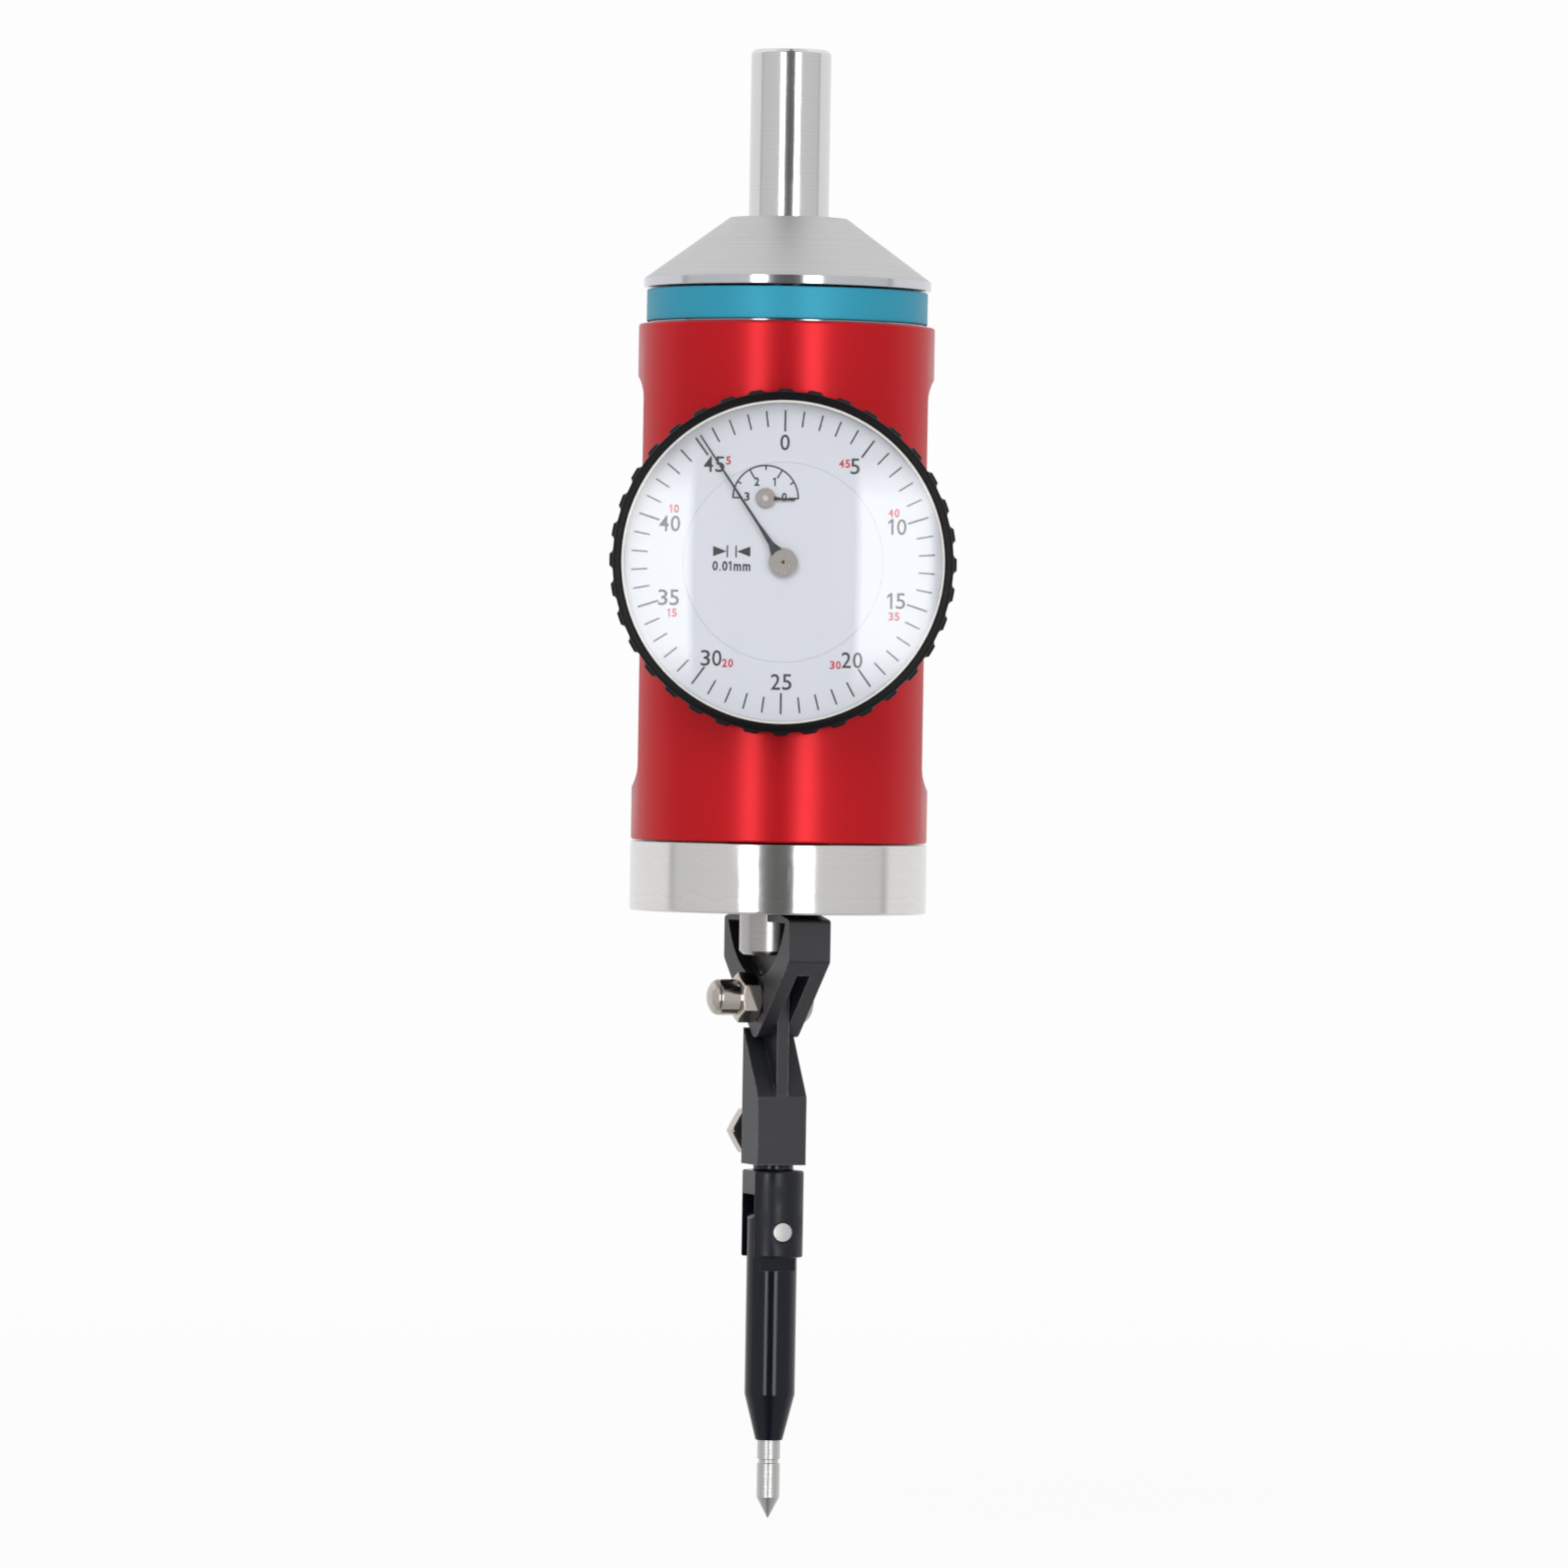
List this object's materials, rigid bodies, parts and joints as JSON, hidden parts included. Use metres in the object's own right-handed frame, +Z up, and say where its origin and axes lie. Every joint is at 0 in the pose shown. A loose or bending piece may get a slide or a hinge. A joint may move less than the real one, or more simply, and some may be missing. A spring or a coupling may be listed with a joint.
{
  "type": "coaxial centering indicator",
  "caption": "Machinist's coaxial centering indicator: straight shank, red housing on a rotating spindle, dial gauge in front and a pivoting lever with a hinged centre probe below.",
  "frame": {"origin": "on the spindle axis at the foot of the shank, on the flat top of the cone", "axes": "+Z up the shank towards the machine spindle; the dial faces -Y; +X to the reader's right"},
  "size_m": [0.0542, 0.0575, 0.2331],
  "materials": {
    "polished_steel": "polished, fine turned",
    "turned_aluminium": "matte turned",
    "bearing_steel": "ground",
    "red_anodised": "red anodised satin",
    "blue_anodised": "blue anodised",
    "black_oxide": "black oxide, matte",
    "nickel_plate": "nickel plated",
    "black_gloss": "black gloss",
    "case_black": "black satin",
    "movement_brass": "satin",
    "bezel_black": "black anodised",
    "dial_face": "white enamel with black and red scale",
    "crystal_glass": "clear",
    "satin_ring": "satin",
    "pointer_black": "black"
  },
  "bodies": {
    "spindle": {"spindle": "polished_steel", "cone_cap": "turned_aluminium", "upper_bearing_inner": "bearing_steel", "lower_bearing_inner": "bearing_steel", "spindle_circlips": "bearing_steel", "rotor_head": "polished_steel", "yoke": "black_oxide", "pivot_bolt": "nickel_plate", "acorn_nut": "nickel_plate"},
    "housing": {"housing": "red_anodised", "cover_ring": "blue_anodised", "steel_washer": "polished_steel", "upper_bearing_outer": "bearing_steel", "lower_bearing_outer": "bearing_steel", "upper_bearing_balls": "bearing_steel", "lower_bearing_balls": "bearing_steel", "dial_case": "case_black", "case_screws": "bearing_steel", "movement_pillars": "movement_brass", "bridge_screws": "bearing_steel", "movement_bridge": "movement_brass", "dial_feet": "movement_brass", "inner_dial": "dial_face", "rack_guide": "movement_brass"},
    "bezel": {"bezel": "bezel_black", "bezel_snap_wire": "bearing_steel", "outer_dial": "dial_face", "crystal_ring": "satin_ring", "crystal": "crystal_glass"},
    "plunger": {"plunger": "polished_steel", "plunger_rod": "polished_steel", "cross_pin": "polished_steel", "lifting_collar": "bearing_steel", "plunger_spring": "bearing_steel"},
    "rack": {"rack_carrier": "movement_brass", "rack": "movement_brass"},
    "counter": {"counter_arbor": "movement_brass", "counter_wheel": "movement_brass", "counter_pointer": "pointer_black"},
    "pointer": {"pointer_arbor": "bearing_steel", "main_pointer": "pointer_black"},
    "lever": {"lever": "black_oxide", "clamp_screw": "nickel_plate"},
    "socket": {"feeler_socket": "black_gloss", "socket_rivet": "polished_steel"},
    "probe": {"probe_barrel": "black_gloss", "point_spring": "bearing_steel"},
    "point": {"centre_point": "polished_steel"}
  },
  "joints": [
    {"name": "housing_spin", "type": "hinge", "parent": "spindle", "child": "housing", "pos_m": [0, 0, -0.058], "axis": [0, 0, 1], "continuous": true},
    {"name": "bezel_turn", "type": "hinge", "parent": "housing", "child": "bezel", "pos_m": [0, -0.0276, -0.055], "axis": [0, -1, 0], "continuous": true},
    {"name": "lever_swing", "type": "hinge", "parent": "spindle", "child": "lever", "pos_m": [0, 0, -0.1237], "axis": [0.9397, 0.342, 0], "range_deg": [0, 23.5], "stiffness_Nm_per_rad": 0.08, "springref_deg": -5.73},
    {"name": "plunger_lift", "type": "slide", "parent": "spindle", "child": "plunger", "axis": [0, 0, 1], "range_m": [0, 0.003], "deforming": ["plunger_spring"]},
    {"name": "rack_lift", "type": "slide", "parent": "housing", "child": "rack", "axis": [0, 0, 1], "range_m": [0, 0.003]},
    {"name": "counter_turn", "type": "hinge", "parent": "housing", "child": "counter", "pos_m": [-0.00288, -0.0204, -0.04509], "axis": [0, -1, 0], "range_deg": [0, 180]},
    {"name": "pointer_turn", "type": "hinge", "parent": "housing", "child": "pointer", "pos_m": [0, -0.0204, -0.055], "axis": [0, 1, 0], "range_deg": [0, 2160]},
    {"name": "socket_turn", "type": "hinge", "parent": "lever", "child": "socket", "pos_m": [0, 0, -0.1462], "axis": [0, 0, 1], "continuous": true},
    {"name": "probe_swing", "type": "hinge", "parent": "socket", "child": "probe", "pos_m": [0, 0, -0.1608], "axis": [-0.342, 0.9397, 0], "range_deg": [-90, 90]},
    {"name": "point_slide", "type": "slide", "parent": "probe", "child": "point", "axis": [0, 0, 1], "range_m": [0, 0.003], "stiffness_N_per_m": 300, "springref_m": -0.002, "deforming": ["point_spring"]}
  ],
  "couplings": [
    {"joint": "plunger_lift", "follows": "lever_swing", "m_per_rad": 0.0073143},
    {"joint": "rack_lift", "follows": "lever_swing", "m_per_rad": 0.0073143},
    {"joint": "counter_turn", "follows": "lever_swing", "ratio": 7.6595},
    {"joint": "pointer_turn", "follows": "lever_swing", "ratio": 91.914}
  ]
}
